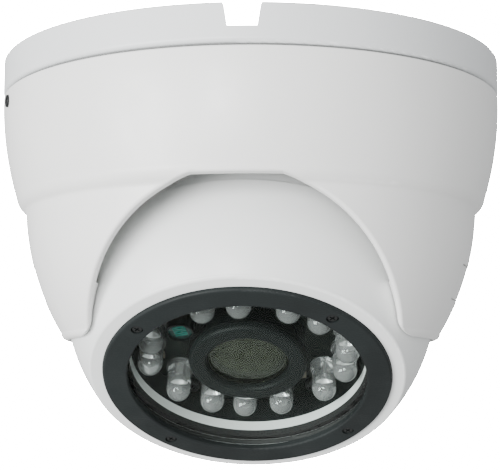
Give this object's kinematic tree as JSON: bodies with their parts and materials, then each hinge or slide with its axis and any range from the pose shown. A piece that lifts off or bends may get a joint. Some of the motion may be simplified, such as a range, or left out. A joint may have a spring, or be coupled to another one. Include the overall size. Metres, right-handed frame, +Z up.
{
  "type": "dome camera",
  "caption": "Ceiling dome camera: round base, white cover with a front arch, and a ball that carries the lens and infrared leds.",
  "frame": {"origin": "centre of the base's ceiling face", "axes": "+Z up into the ceiling, the camera hangs towards -Z, -Y is the front that the arch and the lens face, +X is to the right seen from the front"},
  "size_m": [0.104, 0.104, 0.0834],
  "materials": {
    "white_paint": "fine satin powder coat",
    "ball_paint": "fine satin powder coat",
    "bezel_black": "fine grained black",
    "black_plastic": "matt black",
    "black_rubber": "matt",
    "window": "polished",
    "led_epoxy": "clear epoxy",
    "lens_glass": "coated",
    "filter_glass": "coated",
    "board_mask": "dark solder mask",
    "main_mask": "green solder mask",
    "chip_black": "moulded",
    "sensor_package": "ceramic package",
    "ceramic": "resistor ceramic",
    "light_cell": "clear coated ceramic",
    "white_nylon": "moulded",
    "black_screw": "black oxide",
    "steel": "zinc plated",
    "brass": "turned",
    "lens_black": "black anodised"
  },
  "bodies": {
    "base": {"base_ring": "white_paint", "base_o_ring": "black_rubber", "cable_grommet": "black_rubber"},
    "cover": {"cover_shell": "white_paint", "cover_set_screws": "black_screw", "pivot_cover_left": "white_paint", "pivot_cover_right": "white_paint", "pivot_screw_left": "steel", "pivot_screw_right": "steel"},
    "gimbal": {"gimbal_ring": "ball_paint", "pivot_bushes": "brass"},
    "ball": {"ball_front_shell": "ball_paint", "ball_rear_shell": "ball_paint", "shell_seal": "black_rubber", "shell_screws": "steel", "rear_cable_gland": "black_rubber", "bezel_ring": "bezel_black", "bezel_screws": "black_screw", "window_glass": "window", "window_gasket": "black_rubber", "led_cup": "black_plastic", "cup_screws": "steel", "led_board": "board_mask", "led_board_screws": "black_screw", "led_board_resistors": "ceramic", "infrared_leds": "led_epoxy", "sensor_sleeve": "black_plastic", "light_sensor": "light_cell", "lens_shroud": "black_plastic", "lens_barrel": "lens_black", "lens_front_element": "lens_glass", "lens_aperture_ring": "lens_black", "lens_rear_element": "lens_glass", "lens_lock_ring": "brass", "lens_holder": "black_plastic", "infrared_filter": "filter_glass", "image_sensor": "sensor_package", "main_board": "main_mask", "main_board_screws": "steel", "board_standoffs": "brass", "board_chips": "chip_black", "board_connector": "white_nylon"}
  },
  "joints": [
    {"name": "pan", "type": "hinge", "parent": "base", "child": "cover", "pos_m": [0, 0, 0], "axis": [0, 0, 1], "range_deg": [-177.5, 177.5]},
    {"name": "tilt", "type": "hinge", "parent": "cover", "child": "gimbal", "pos_m": [0, 0, -0.0469], "axis": [1, 0, 0], "range_deg": [-40, 35]},
    {"name": "roll", "type": "hinge", "parent": "gimbal", "child": "ball", "pos_m": [0, 0, -0.0469], "axis": [0, -0.5736, -0.8192], "range_deg": [-177.5, 177.5]}
  ]
}
